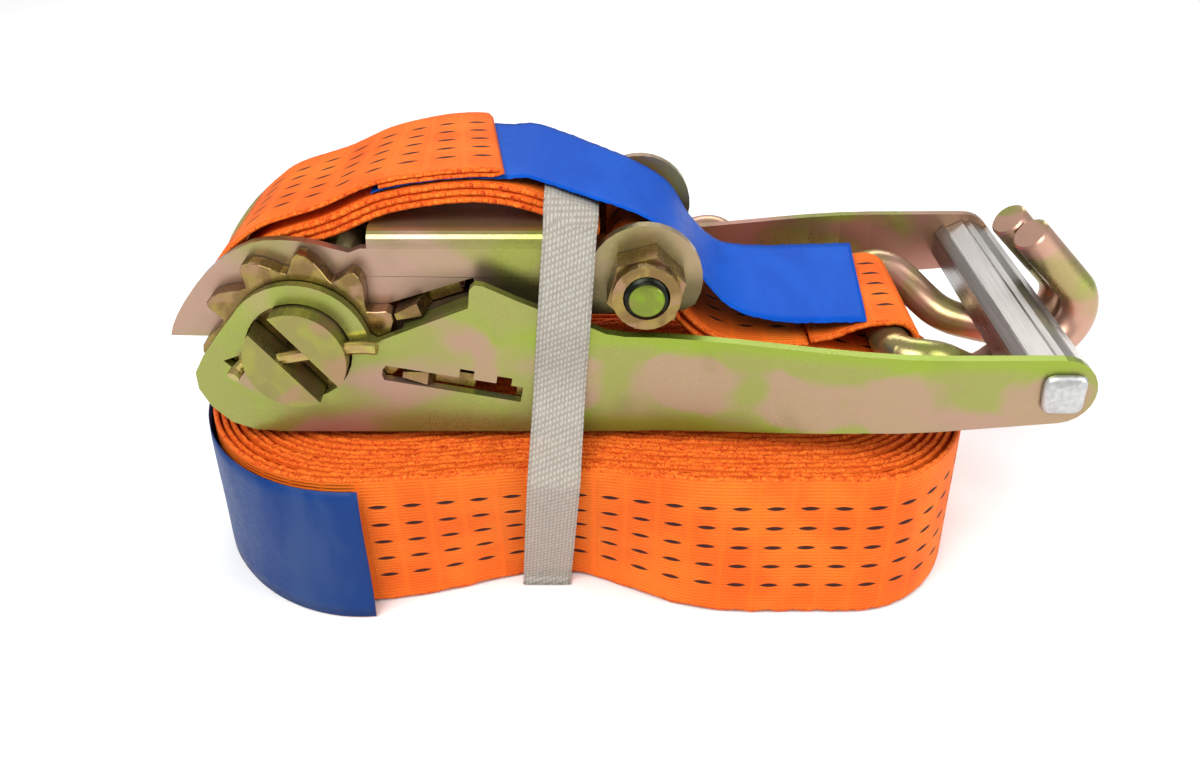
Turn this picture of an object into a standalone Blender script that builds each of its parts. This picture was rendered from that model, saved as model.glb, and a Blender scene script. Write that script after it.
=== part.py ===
"""Ratchet strap: a closed two-pawl ratchet lying on the folded hank of its 50 mm webbing, held by one tie.

Every outline is drawn in millimetres about the drum axis: +X towards the grip bar, +Y to the rear plate,
+Z up. The layout empty puts the drum axis at its height above the floor.
"""

import math

import bmesh
import bpy
from mathutils import Matrix, Vector

MM = 0.001
GAP = 0.3

# Layout
DRUM_HEIGHT = 78.0
LAYOUT_X = -98.18
LAYOUT_Y = -25.66

# Webbing
WEB_WIDTH = 50.0
HANK_TOP = -28.0
HANK_LEFT = -37.0
HANK_RIGHT = 195.0
HANK_WAIST = 68.0
LEFT_ROUNDING = 52.0
RIGHT_ROUNDING = 42.0
ROUNDING_FADE = 80.0
TURN_DEPTH = 18.0
LABEL_END = 20.0
FLOOR = -DRUM_HEIGHT

# Frame
FRAME_INNER = 26.5
PLATE = 3.0
FRAME_OUTER = FRAME_INNER + PLATE
WEB_TOP = 31.4
RIDGE_START = 19.5
RIDGE_END = 73.0
BOLT_X = 94.7
BOLT_Z = 17.6
EAR_RADIUS = 15.8

# Drum
DRUM_RADIUS = 14.0
DRUM_HOLE = 14.6
DRUM_HALF_LENGTH = 44.5
DRUM_SLOT = 7.4
SLOT_ANGLE = math.radians(-51)
COTTER_RADIUS = 1.8
COTTER_ANGLE = math.radians(10)
COTTER_Y = 41.2
WHEEL_IN = 29.9
WHEEL_OUT = 35.1
WHEEL_TIP = 27.5
WHEEL_ROOT = 21.6
TEETH = 11
TOOTH_PHASE = math.radians(94.0)

# Handle
HANDLE_INNER = 35.6
HANDLE_OUTER = HANDLE_INNER + PLATE
FLARE = 13.9
FLARE_START = 88.0
FLARE_END = 174.0
GRIP_X = 205.2
GRIP_Z = -4.8
GRIP_HALF = 9.5
TENON_HALF = 4.3
ARM_END_RADIUS = 9.6

# Pawls
PAWL_THICK = 4.0
DRIVE_ANGLE = math.radians(-10.5)
DRIVE_START = (27.2, -7.4)
DRIVE_LENGTH = 20.0
LOCK_ANGLE = math.radians(18.0)
LOCK_START = 28.0
LOCK_LENGTH = 18.0
SPRING_RADIUS = 2.6
SPRING_WIRE = 0.5
SPRING_TURNS = 5

# Claw hooks
WIRE = 5.5
CLAW_RADIUS = 11.5
CLAW_REACH = 27.0
CLAW_BEND = 45.0
CLAW_TURN = math.radians(15.0)
CLAW_PAIR = 5.85
EYE_HALF = 31.4
EYE_CORNER = 7.0
EYE_LENGTH = 50.7
EYE_WEB = 24.2
EYE_X = 166.0
EYE_Z = -6.0
CLAW_DROP = 13.0
CLAW_FALL = 0.55
CLAW_SIDE = 6.0
LONG_EYE_X = 128.0
LONG_EYE_Y = 70.0
LONG_DROP = 0.17

# Tie
TIE_X = 72.0
TIE_HALF = 7.2
TIE_THICK = 1.1
TIE_LEAN = 0.073
TIE_TOP_FROM = 34.0
TIE_TOP_SLOPE = 0.42


def clear_scene():
    for obj in list(bpy.data.objects):
        bpy.data.objects.remove(obj, do_unlink=True)


def make_collection(name, hidden=False):
    collection = bpy.data.collections.new(name)
    bpy.context.scene.collection.children.link(collection)
    collection.hide_render = hidden
    return collection


def make_material(name, colour, roughness, metallic):
    material = bpy.data.materials.new(name)
    material.use_nodes = True
    shader = material.node_tree.nodes["Principled BSDF"]
    shader.inputs["Base Color"].default_value = (*colour, 1)
    shader.inputs["Roughness"].default_value = roughness
    shader.inputs["Metallic"].default_value = metallic
    material.diffuse_color = (*colour, 1)
    return material


# Outlines, in millimetres


def arc(centre, radius, start, end, steps):
    """Points on a circle from one angle to another, both in degrees and both included."""
    found = []
    for i in range(steps + 1):
        angle = math.radians(start + (end - start) * i / steps)
        found.append((centre[0] + radius * math.cos(angle), centre[1] + radius * math.sin(angle)))
    return found


def turned(points, angle, offset=(0.0, 0.0)):
    c, s = math.cos(angle), math.sin(angle)
    return [(offset[0] + x * c - y * s, offset[1] + x * s + y * c) for x, y in points]


def box_outline(x0, x1, z0, z1):
    return [(x0, z0), (x1, z0), (x1, z1), (x0, z1)]


def smooth(t):
    t = min(max(t, 0.0), 1.0)
    return t * t * (3 - 2 * t)


def spline_through(points, steps):
    """A smooth Catmull-Rom run through the points, with the given steps between two of them."""
    first = [2 * a - b for a, b in zip(points[0], points[1])]
    last = [2 * a - b for a, b in zip(points[-1], points[-2])]
    whole = [first, *points, last]
    found = []
    for i in range(1, len(whole) - 2):
        before, start, end, after = whole[i - 1 : i + 3]
        for k in range(steps):
            t = k / steps
            place = []
            for a, b, c, d in zip(before, start, end, after):
                square = 2 * a - 5 * b + 4 * c - d
                cube = 3 * b - a - 3 * c + d
                place.append(0.5 * (2 * b + (c - a) * t + square * t**2 + cube * t**3))
            found.append(tuple(place))
    found.append(tuple(points[-1]))
    return found


def offset_run(run, distance):
    """The open run moved sideways, to the left of its direction."""
    found = []
    for i, point in enumerate(run):
        before = run[max(i - 1, 0)]
        after = run[min(i + 1, len(run) - 1)]
        dx, dz = after[0] - before[0], after[1] - before[1]
        size = math.hypot(dx, dz)
        found.append((point[0] - dz / size * distance, point[1] + dx / size * distance))
    return found


def band(run, below, above):
    """The closed outline between two offsets of an open run."""
    return offset_run(run, above) + offset_run(run, below)[::-1]


# Objects

TO_XZ = Matrix.Rotation(math.pi / 2, 4, "X")
TO_YZ = Matrix(((0, 0, 1, 0), (1, 0, 0, 0), (0, 1, 0, 0), (0, 0, 0, 1)))
TO_XY = Matrix.Identity(4)


def mesh_of(obj, name, weld=1e-6):
    """The object's evaluated mesh with its caps welded, and the object removed."""
    graph = bpy.context.evaluated_depsgraph_get()
    mesh = bpy.data.meshes.new_from_object(obj.evaluated_get(graph))
    mesh.transform(obj.matrix_world)
    mesh.name = name
    bpy.data.objects.remove(obj, do_unlink=True)
    work = bmesh.new()
    work.from_mesh(mesh)
    bmesh.ops.remove_doubles(work, verts=work.verts, dist=weld)
    bmesh.ops.recalc_face_normals(work, faces=work.faces)
    work.to_mesh(mesh)
    work.free()
    return mesh


def prism_mesh(name, outlines, low, high, turn):
    """A flat outline, with any holes, extruded from low to high along the turned Z axis, in metres."""
    curve = bpy.data.curves.new(name, "CURVE")
    curve.dimensions = "2D"
    curve.fill_mode = "BOTH"
    curve.extrude = (high - low) / 2 * MM
    for outline in outlines:
        spline = curve.splines.new("POLY")
        spline.points.add(len(outline) - 1)
        for point, (x, y) in zip(spline.points, outline):
            point.co = (x * MM, y * MM, 0, 1)
        spline.use_cyclic_u = True
    obj = bpy.data.objects.new(name, curve)
    bpy.context.scene.collection.objects.link(obj)
    mesh = mesh_of(obj, name)
    mesh.transform(Matrix.Translation((0, 0, (low + high) / 2 * MM)))
    mesh.transform(turn)
    return mesh


def plate_mesh(name, outlines, front, rear):
    """An outline in X and Z, between two depths in Y."""
    return prism_mesh(name, outlines, -rear, -front, TO_XZ)


def tube_mesh(name, route, radius, resolution=2):
    curve = bpy.data.curves.new(name, "CURVE")
    curve.dimensions = "3D"
    curve.bevel_depth = radius * MM
    curve.bevel_resolution = resolution
    curve.use_fill_caps = True
    curve.twist_mode = "MINIMUM"
    spline = curve.splines.new("POLY")
    spline.points.add(len(route) - 1)
    for point, place in zip(spline.points, route):
        point.co = (*(c * MM for c in place), 1)
    obj = bpy.data.objects.new(name, curve)
    bpy.context.scene.collection.objects.link(obj)
    return mesh_of(obj, name)


def turned_mesh(name, profile, steps):
    """A profile of (radius, height) pairs turned about Z, closed at both ends on the axis."""
    mesh = bpy.data.meshes.new(name)
    corners = [(r * MM, 0, z * MM) for r, z in profile]
    mesh.from_pydata(corners, [(i, i + 1) for i in range(len(profile) - 1)], [])
    obj = bpy.data.objects.new(name, mesh)
    bpy.context.scene.collection.objects.link(obj)
    screw = obj.modifiers.new("turn", "SCREW")
    screw.steps = steps
    screw.render_steps = steps
    screw.use_merge_vertices = True
    screw.merge_threshold = 1e-6
    return mesh_of(obj, name)


class Builder:
    """Places meshes as named objects under the layout empty, with each origin on its joint's axis."""

    def __init__(self):
        self.parts = make_collection("ratchet_strap")
        self.cutters = make_collection("cutters", hidden=True)
        self.layout = bpy.data.objects.new("drum_axis_above_floor", None)
        self.layout.location = (LAYOUT_X * MM, LAYOUT_Y * MM, DRUM_HEIGHT * MM)
        self.parts.objects.link(self.layout)

    def add(self, name, mesh, material, origin=(0.0, 0.0, 0.0)):
        place = Vector(origin) * MM
        mesh.transform(Matrix.Translation(-place))
        mesh.materials.clear()
        mesh.materials.append(material)
        mesh.shade_smooth()
        mesh.set_sharp_from_angle(angle=math.radians(35))
        obj = bpy.data.objects.new(name, mesh)
        obj.parent = self.layout
        obj.location = place
        self.parts.objects.link(obj)
        return obj

    def tool(self, name, mesh):
        obj = bpy.data.objects.new(name, mesh)
        obj.parent = self.layout
        obj.hide_render = True
        obj.display_type = "WIRE"
        self.cutters.objects.link(obj)
        return obj

    def boolean(self, obj, tool, operation):
        modifier = obj.modifiers.new(tool.name, "BOOLEAN")
        modifier.operation = operation
        modifier.object = tool
        modifier.solver = "EXACT"

    def soften(self, obj, width, segments=1):
        weld = obj.modifiers.new("weld", "WELD")
        weld.merge_threshold = 1e-6
        bevel = obj.modifiers.new("edges", "BEVEL")
        bevel.width = width * MM
        bevel.segments = segments
        bevel.limit_method = "ANGLE"
        bevel.angle_limit = math.radians(50)


# Frame body


def frame_outline():
    """The side plate: a fan round the drum, a straight run and a round ear at the bolt."""
    ear = (BOLT_X, BOLT_Z - 0.2)
    return [
        (-37.6, 0.4),
        (-36.6, 3.4),
        (-34.8, 6.8),
        (-32.3, 10.6),
        (-28.9, 15.0),
        (-25.2, 19.1),
        (-20.9, 22.9),
        (-16.0, 26.2),
        (-11.6, 28.2),
        (-8.0, 28.9),
        (-3.4, 29.1),
        (1.0, 28.8),
        (5.5, 28.0),
        (10.5, 26.5),
        (14.6, 25.4),
        (17.6, 26.6),
        (24.0, 26.6),
        (71.0, 26.6),
        (75.0, 23.0),
        (79.6, 20.6),
        *arc(ear, EAR_RADIUS, 166, -14, 16),
        (108.6, 10.0),
        (105.6, 8.2),
        (84.0, 7.4),
        (66.0, 6.6),
        (40.0, 3.2),
        (24.0, 0.4),
        *arc((0, 0), 18.6, -12, -176, 13),
        (-22.0, 0.1),
        (-30.0, 0.2),
    ]


def lock_slot():
    """The slot in each side plate in which the lock pawl slides."""
    half = PAWL_THICK / 2 + 0.35
    return turned(box_outline(LOCK_START - 6.6, LOCK_START + LOCK_LENGTH + 5.0, -half, half), LOCK_ANGLE)


def channel_outline():
    """The base and its two rolled corners, as a section in Y and Z."""
    outer, inner = FRAME_OUTER - 0.08, FRAME_INNER + 0.08
    bend, inside = 4.6, 1.7
    top, under = WEB_TOP, WEB_TOP - (outer - inner)
    right = arc((outer - bend, top - bend), bend, 0, 90, 6)
    right_in = arc((inner - inside, under - inside), inside, 90, 0, 4)
    half = [(outer, 22.0), *right]
    half_in = [*right_in, (inner, 22.0)]
    left = [(-y, z) for y, z in half[::-1]]
    left_in = [(-y, z) for y, z in half_in[::-1]]
    return half + left + left_in + half_in


def make_frame(build, steel):
    holes = [arc((0, 0), DRUM_HOLE, 4, 352.75, 31), arc((BOLT_X, BOLT_Z), 6.4, 0, 345, 23), lock_slot()]
    front = plate_mesh("ratchet_frame", [frame_outline(), *holes], -FRAME_OUTER, -FRAME_INNER)
    rear = plate_mesh("rear_plate", [frame_outline(), *holes], FRAME_INNER, FRAME_OUTER)
    base = prism_mesh("base", [channel_outline()], RIDGE_START, RIDGE_END, TO_YZ)
    frame = build.add("ratchet_frame", front, steel)
    build.boolean(frame, build.tool("frame_base", base), "UNION")
    build.boolean(frame, build.tool("frame_rear_plate", rear), "UNION")
    return frame


def make_bolt(build, steel):
    head_end = FRAME_OUTER + 8.0
    tip = -(FRAME_OUTER + 15.5)
    profile = [
        (0, head_end),
        (8.6, head_end),
        (9.6, head_end - 1.2),
        (9.6, FRAME_OUTER + GAP),
        (5.95, FRAME_OUTER + GAP),
        (5.95, tip + 1.0),
        (5.1, tip),
        (0, tip),
    ]
    mesh = turned_mesh("bolt", profile, 24)
    mesh.transform(Matrix.Rotation(-math.pi / 2, 4, "X"))
    mesh.transform(Matrix.Translation((BOLT_X * MM, 0, BOLT_Z * MM)))
    return build.add("frame_bolt", mesh, steel, (BOLT_X, 0, BOLT_Z))


def make_nut(build, steel):
    """A locknut: a hexagon, and the round collar that holds its nylon ring."""
    hexagon = arc((BOLT_X, BOLT_Z), 10.9, 15, 315, 5)
    hole = arc((BOLT_X, BOLT_Z), 6.3, 0, 345, 23)
    collar = arc((BOLT_X, BOLT_Z), 9.2, 0, 345, 23)
    face = -(FRAME_OUTER + GAP)
    nut = build.add("frame_locknut", plate_mesh("nut", [hexagon, hole], face - 9.0, face), steel)
    ring = plate_mesh("collar", [collar, hole], face - 12.0, face - 8.0)
    build.boolean(nut, build.tool("locknut_collar", ring), "UNION")
    return nut


def make_sleeve(build, steel):
    rings = [arc((BOLT_X, BOLT_Z), radius, 0, 345, 23) for radius in (8.2, 6.4)]
    mesh = plate_mesh("sleeve", rings, -(FRAME_INNER - GAP), FRAME_INNER - GAP)
    return build.add("bolt_sleeve", mesh, steel, (BOLT_X, 0, BOLT_Z))


def pawl_mesh(name, start, length, wing, body):
    """A flat pawl: wings that reach both ratchet wheels, and a narrower tail."""
    half = PAWL_THICK / 2
    outline = [
        (start, -wing),
        (start, wing),
        (start + 7.0, wing),
        (start + 9.0, body),
        (start + length, body),
        (start + length, -body),
        (start + 9.0, -body),
        (start + 7.0, -wing),
    ]
    mesh = prism_mesh(name, [outline], -half, half, TO_XY)
    work = bmesh.new()
    work.from_mesh(mesh)
    for vert in work.verts:
        if vert.co.x < (start + 0.5) * MM:
            vert.co.z *= 0.45
    work.to_mesh(mesh)
    work.free()
    return mesh


def coil(length, turns, radius, per_turn=10):
    """A compression spring's centre line along +X, with closed end turns."""
    found = []
    count = turns * per_turn
    for i in range(count + 1):
        t = i / count
        angle = 2 * math.pi * turns * t
        found.append((length * t, radius * math.cos(angle), radius * math.sin(angle)))
    return found


def placed_on(route, angle, offset):
    """A route turned in the X and Z plane and moved."""
    c, s = math.cos(angle), math.sin(angle)
    return [(offset[0] + x * c - z * s, y + offset[1], offset[2] + x * s + z * c) for x, y, z in route]


def along(distance, angle, start=(0.0, 0.0)):
    return (start[0] + distance * math.cos(angle), start[1] + distance * math.sin(angle))


def make_lock_pawl(build, steel, spring_steel):
    turn = Matrix.Rotation(-LOCK_ANGLE, 4, "Y")
    mesh = pawl_mesh("lock_pawl", LOCK_START, LOCK_LENGTH, 34.8, FRAME_INNER - 0.6)
    mesh.transform(turn)
    build.add("lock_pawl", mesh, steel, (0, 0, 0))
    seat_start = LOCK_START + LOCK_LENGTH + 12.0
    seat = turned(box_outline(seat_start, seat_start + 3.0, -3.6, 3.6), LOCK_ANGLE)
    half = FRAME_INNER - GAP
    build.add("lock_spring_seat", plate_mesh("seat", [seat], -half, half), steel)
    first = LOCK_START + LOCK_LENGTH + SPRING_WIRE + GAP
    reach = seat_start - SPRING_WIRE - GAP - first
    x, z = along(first, LOCK_ANGLE)
    route = placed_on(coil(reach, SPRING_TURNS, SPRING_RADIUS), LOCK_ANGLE, (x, 0, z))
    build.add("lock_spring", tube_mesh("lock_spring", route, SPRING_WIRE, 1), spring_steel)


# Handle


def handle_outline():
    """The handle plate: a round drum end, a horn over the pawl, and a long arm to the grip bar."""
    end = (GRIP_X - 0.4, GRIP_Z)
    return [
        (-29.3, -6.6),
        (-26.4, -1.4),
        (-21.4, 5.2),
        *arc((0, 0), 19.9, 146, 22, 14),
        (19.6, 4.0),
        (21.4, 2.9),
        (34.0, 8.0),
        (47.0, 13.2),
        (47.6, 18.6),
        (49.0, 20.0),
        (51.4, 19.6),
        (60.0, 15.4),
        (72.0, 10.2),
        (80.2, 7.2),
        (84.0, 5.4),
        (89.0, 4.6),
        (140.0, 4.6),
        *arc(end, ARM_END_RADIUS, 90, -84, 12),
        (185.0, -16.2),
        (154.0, -18.9),
        (130.0, -22.0),
        (108.0, -24.3),
        (88.0, -25.6),
        (-6.0, -25.6),
        (-15.0, -25.0),
        (-21.6, -22.4),
        (-26.6, -17.2),
        (-29.2, -11.6),
    ]


def pawl_window():
    """The slot in each handle plate in which the drive pawl slides, with two notches along its top."""
    run = [
        (-5.0, -1.0),
        (-4.2, -2.3),
        (34.0, -2.4),
        (34.0, 2.3),
        (30.6, 2.3),
        (30.6, 4.6),
        (26.4, 4.6),
        (26.4, 2.3),
        (20.0, 2.3),
        (20.0, 5.0),
        (16.0, 5.0),
        (16.0, 2.3),
        (-4.2, 2.3),
        (-5.0, 1.0),
    ]
    return turned(run, DRIVE_ANGLE, DRIVE_START)


def flared(x):
    return FLARE * smooth((x - FLARE_START) / (FLARE_END - FLARE_START))


def bend_outwards(mesh, side):
    """Cuts the flat plate across at each step of the bend, then moves the grip end outwards."""
    work = bmesh.new()
    work.from_mesh(mesh)
    steps = 8
    for i in range(steps + 1):
        x = (FLARE_START + (FLARE_END - FLARE_START) * i / steps) * MM
        everything = work.verts[:] + work.edges[:] + work.faces[:]
        bmesh.ops.bisect_plane(work, geom=everything, dist=1e-7, plane_co=(x, 0, 0), plane_no=(1, 0, 0))
    for vert in work.verts:
        vert.co.y += side * flared(vert.co.x / MM) * MM
    work.to_mesh(mesh)
    work.free()


def make_handle_plate(build, steel, name, side):
    hole = arc((0, 0), DRUM_HOLE, 4, 352.75, 31)
    tab = [(-21.0, -2.8), (-16.6, -1.2), (-16.2, -7.6)]
    tenon = TENON_HALF + 0.3
    socket = box_outline(GRIP_X - tenon, GRIP_X + tenon, GRIP_Z - tenon, GRIP_Z + tenon)
    near, far = sorted((side * HANDLE_INNER, side * HANDLE_OUTER))
    mesh = plate_mesh(name, [handle_outline(), hole, tab, pawl_window(), socket], near, far)
    bend_outwards(mesh, side)
    plate = build.add(name, mesh, steel)
    lip = [(28.6, 5.9), (46.6, 13.2), (47.6, 10.4), (29.6, 3.1)]
    near, far = sorted((side * (FRAME_OUTER + 0.8), side * (HANDLE_INNER + 1.2)))
    build.boolean(plate, build.tool(name + "_lip", plate_mesh("lip", [lip], near, far)), "UNION")
    return plate


def make_grip(build, aluminium):
    """The grip bar: a ribbed flat section between the plates, with a square tenon through each."""
    half = GRIP_HALF
    section = [
        (-half, -4.6),
        (-half, 3.0),
        (-7.4, 5.6),
        (-6.2, 4.9),
        (-1.4, 7.4),
        (0.0, 6.6),
        (1.4, 7.4),
        (6.2, 4.9),
        (7.4, 5.6),
        (half, 3.0),
        (half, -4.6),
        (7.6, -7.2),
        (-7.6, -7.2),
    ]
    outline = [(GRIP_X + x, GRIP_Z + z) for x, z in section]
    inner = HANDLE_INNER + FLARE - GAP
    grip = build.add("grip_bar", plate_mesh("grip", [outline], -inner, inner), aluminium)
    t = TENON_HALF
    square = [(GRIP_X + x, GRIP_Z + z) for x, z in ((-t, -t + 1), (-t + 1, -t), (t - 1, -t), (t, -t + 1))]
    square += [(GRIP_X + x, GRIP_Z + z) for x, z in ((t, t - 1), (t - 1, t), (-t + 1, t), (-t, t - 1))]
    reach = HANDLE_OUTER + FLARE + 1.6
    tenon = build.tool("grip_tenon", plate_mesh("tenon", [square], -reach, reach))
    build.boolean(grip, tenon, "UNION")
    return grip


def make_drive_pawl(build, steel, spring_steel):
    x0, z0 = DRIVE_START
    turn = Matrix.Translation((x0 * MM, 0, z0 * MM)) @ Matrix.Rotation(-DRIVE_ANGLE, 4, "Y")
    mesh = pawl_mesh("drive_pawl", 0.6, DRIVE_LENGTH, HANDLE_OUTER - 0.6, HANDLE_INNER - 0.6)
    mesh.transform(turn)
    build.add("drive_pawl", mesh, steel, (x0, 0, z0))
    seat_start = DRIVE_LENGTH + 12.4
    seat = turned(box_outline(seat_start, seat_start + 3.0, -3.4, 3.4), DRIVE_ANGLE, DRIVE_START)
    half = HANDLE_INNER - GAP
    build.add("drive_spring_seat", plate_mesh("seat", [seat], -half, half), steel)
    first = DRIVE_LENGTH + 0.6 + SPRING_WIRE + GAP
    reach = seat_start - SPRING_WIRE - GAP - first
    x, z = along(first, DRIVE_ANGLE, DRIVE_START)
    route = placed_on(coil(reach, SPRING_TURNS, SPRING_RADIUS), DRIVE_ANGLE, (x, 0, z))
    build.add("drive_spring", tube_mesh("drive_spring", route, SPRING_WIRE, 1), spring_steel)


# Drum


def half_moon(radius, flat):
    """A circle's segment above a chord at height flat, in the slot's own frame."""
    start = math.degrees(math.asin(flat / radius))
    return arc((0, 0), radius, start, 180 - start, 16)


def make_drum(build, steel):
    for name, turn in (("drum_half_upper", 0.0), ("drum_half_lower", math.pi)):
        outline = turned(half_moon(DRUM_RADIUS, DRUM_SLOT / 2), SLOT_ANGLE + turn)
        half = build.add(name, plate_mesh(name, [outline], -DRUM_HALF_LENGTH, DRUM_HALF_LENGTH), steel)
        for side, end in ((-1, "front"), (1, "rear")):
            reach = [along(d, COTTER_ANGLE) for d in (-20.0, 20.0)]
            route = [(x, side * COTTER_Y, z) for x, z in reach]
            hole = tube_mesh("cotter_hole", route, COTTER_RADIUS + GAP)
            build.boolean(half, build.tool(f"{name}_{end}_hole", hole), "DIFFERENCE")


def tooth_outline():
    """The wheel's rim: leaning teeth with rounded tips."""
    shape = ((0.0, WHEEL_ROOT), (0.10, 24.0), (0.16, 26.4), (0.24, WHEEL_TIP), (0.38, 27.1), (0.55, 25.6))
    shape += ((0.72, 23.8), (0.88, 22.2))
    found = []
    for tooth in range(TEETH):
        for share, radius in shape:
            angle = TOOTH_PHASE - 2 * math.pi * (tooth + share) / TEETH
            found.append((radius * math.cos(angle), radius * math.sin(angle)))
    return found


def make_wheels(build, steel):
    for name, side in (("ratchet_wheel_front", -1), ("ratchet_wheel_rear", 1)):
        bridge = DRUM_SLOT / 2 - GAP
        window = half_moon(DRUM_RADIUS + GAP, bridge)
        windows = [turned(window, SLOT_ANGLE + turn) for turn in (0.0, math.pi)]
        near, far = sorted((side * WHEEL_IN, side * WHEEL_OUT))
        wheel = build.add(name, plate_mesh(name, [tooth_outline(), *windows], near, far), steel)
        build.soften(wheel, 0.5)


def make_cotters(build, steel):
    """A split pin through both drum halves outside each handle plate, its legs spread at one end."""
    c, s = math.cos(COTTER_ANGLE), math.sin(COTTER_ANGLE)
    for name, side in (("cotter_pin_front", -1), ("cotter_pin_rear", 1)):
        run = [(-17.6, 3.4, -1.6), (-16.8, 1.6, -0.8), (-15.2, 0.2, 0.0), (-13.0, 0.0, 0.0)]
        run += [(0.0, 0.0, 0.0), (15.0, 0.0, 0.0), (19.0, 0.5, -0.3), (22.4, 1.0, -0.9)]
        route = [(x * c - z * s, side * (COTTER_Y + y), x * s + z * c) for x, y, z in run]
        build.add(name, tube_mesh(name, route, COTTER_RADIUS, 3), steel)


# Webbing on the ratchet


def arch_run():
    """The line between the three under layers and the top layer, from the drum to above the sleeve."""
    over = [(8.0, 33.9), (22.0, 40.0), (36.0, 42.9), (49.0, 43.9)]
    over += [(60.0, 42.6), (71.0, 39.2), (84.0, 34.0)]
    turns = ((178, 27.7), (165, 27.6), (150, 27.4), (135, 27.6), (120, 28.2), (104, 29.8))
    round_drum = [(r * math.cos(math.radians(a)), r * math.sin(math.radians(a))) for a, r in turns]
    return spline_through([*round_drum, *over], 3)


def make_pile(build, webbing, label):
    whole = arch_run()
    half = WEB_WIDTH / 2
    under = band(whole, -6.3, -0.1)
    build.add("folded_tail_under", plate_mesh("under", [under], -half, half), webbing)
    top_run = [p for p in whole if p[0] < 52.0]
    top = band(top_run, 1.2, 3.4)
    build.add("folded_tail_top", plate_mesh("top", [top], -half, half), webbing)
    ends = [(93.0, 33.0), (103.4, 26.4), (111.0, 14.8), (120.0, 6.6)]
    ends += [(133.0, 4.2), (147.0, 4.0), (161.0, 4.0)]
    run = [(x, z + 0.7 + 2.2 * smooth((x - 53.5) / 11.0)) for x, z in whole if 20.0 < x < 82.0]
    label_run = spline_through([*run[::3], *ends], 3)
    sheet = band(label_run, -0.4, 0.4)
    build.add("tail_label", plate_mesh("label", [sheet], -23.5, 18.5), label)


def make_short_strap(build, webbing):
    """The fixed end: a loop round the sleeve, a doubled run, and the loop of the short end's hook."""
    half = EYE_WEB
    centre = (BOLT_X, BOLT_Z)
    inner = arc(centre, 8.6, 0, 345, 23)
    outer = [*arc(centre, 11.0, 245, -65, 20), (103.6, 5.4), (97.0, 5.0)]
    build.add("sleeve_loop", plate_mesh("sleeve_loop", [outer, inner], -half, half), webbing)
    run = spline_through([(104.2, 4.6), (112.0, -2.6), (122.0, -6.4), (133.0, -7.0), (142.0, -6.8)], 3)
    build.add("short_strap_run", plate_mesh("run", [band(run, -2.4, 2.4)], -half, half), webbing)
    eye = (EYE_X, EYE_Z)
    hole = [*arc(eye, WIRE + 0.4, -80, 80, 8), (156.0, -2.0), (149.0, -5.4), (149.0, -7.6), (156.0, -10.4)]
    skin = [*arc(eye, WIRE + 2.8, -84, 84, 12), (155.0, 1.0), (143.0, -3.9), (143.0, -9.4), (155.0, -13.2)]
    build.add("short_hook_loop", plate_mesh("hook_loop", [skin, hole], -half, half), webbing)


# Hooks


def claw_route(drop, side, turn):
    """A double claw's centre line: claw, shank, eye bar, shank and claw, with the eye bar on Y at 0.

    drop is how far the shanks fall from the eye bar to the claws, side how far the claws' middle lies
    to the rear, and turn the angle by which the claws point to the rear.
    """
    bend = EYE_CORNER
    way_x, way_y = math.cos(turn), math.sin(turn)
    claw = arc((0.0, CLAW_RADIUS - drop), CLAW_RADIUS, -90, CLAW_BEND, 9)
    last_x, last_z = claw[-1]
    rise = math.radians(90 + CLAW_BEND)
    claw += [
        (last_x + CLAW_REACH * t * math.cos(rise), last_z + CLAW_REACH * t * math.sin(rise))
        for t in (0.5, 1.0)
    ]
    route_side = []
    for way in (1, -1):
        points = []
        for k in range(4):
            angle = math.radians(90 * k / 3)
            across = EYE_HALF - bend + bend * math.sin(angle)
            points.append((bend - bend * math.cos(angle), way * across, 0.0))
        x_end = EYE_LENGTH - way * CLAW_PAIR * way_y
        y_end = side + way * CLAW_PAIR * way_x
        for k in range(1, 9):
            t = k / 9
            x = bend + (x_end - bend) * t
            y = way * EYE_HALF + (y_end - way * EYE_HALF) * smooth(t)
            points.append((x, y, -drop * smooth(t / CLAW_FALL)))
        for out, z in claw:
            points.append((x_end + out * way_x, y_end + out * way_y, z))
        route_side.append(points)
    rear, front = route_side
    return rear[::-1] + front


def make_hooks(build, steel):
    route = [(EYE_X + x, y, EYE_Z + z) for x, y, z in claw_route(CLAW_DROP, CLAW_SIDE, CLAW_TURN)]
    build.add("claw_hook_short", tube_mesh("hook", route, WIRE, 3), steel, (EYE_X, 0, EYE_Z))
    middle = FLOOR + EYE_HALF + WIRE + 0.2
    route = [(LONG_EYE_X - x, LONG_EYE_Y + z, middle + y) for x, y, z in claw_route(LONG_DROP, 0.0, 0.0)]
    build.add("claw_hook_long", tube_mesh("hook", route, WIRE, 3), steel, (LONG_EYE_X, LONG_EYE_Y, middle))


# Hank


def hank_depth(x, top, inset):
    """Half the hank's depth at x: two lobes and the waist under the tie, pinched more at the floor."""
    lobe_left, lobe_right = (59.92, 60.0) if top else (53.0, 58.0)
    waist_half = (54.0 if top else 38.0) - inset
    lobe = (lobe_left if x < HANK_WAIST else lobe_right) - inset
    pinch = math.exp(-(((x - HANK_WAIST) / 30.0) ** 2))
    body = lobe - (lobe - waist_half) * pinch
    tighter = 1 - max(inset, 0.0) / ROUNDING_FADE
    from_left = (x - HANK_LEFT - inset) / (LEFT_ROUNDING * tighter)
    from_right = (HANK_RIGHT - inset - x) / (RIGHT_ROUNDING * tighter)
    reach = min(max(min(from_left, from_right), 0.0), 1.0)
    return body * math.sqrt(1 - (1 - reach) ** 2.3)


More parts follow.
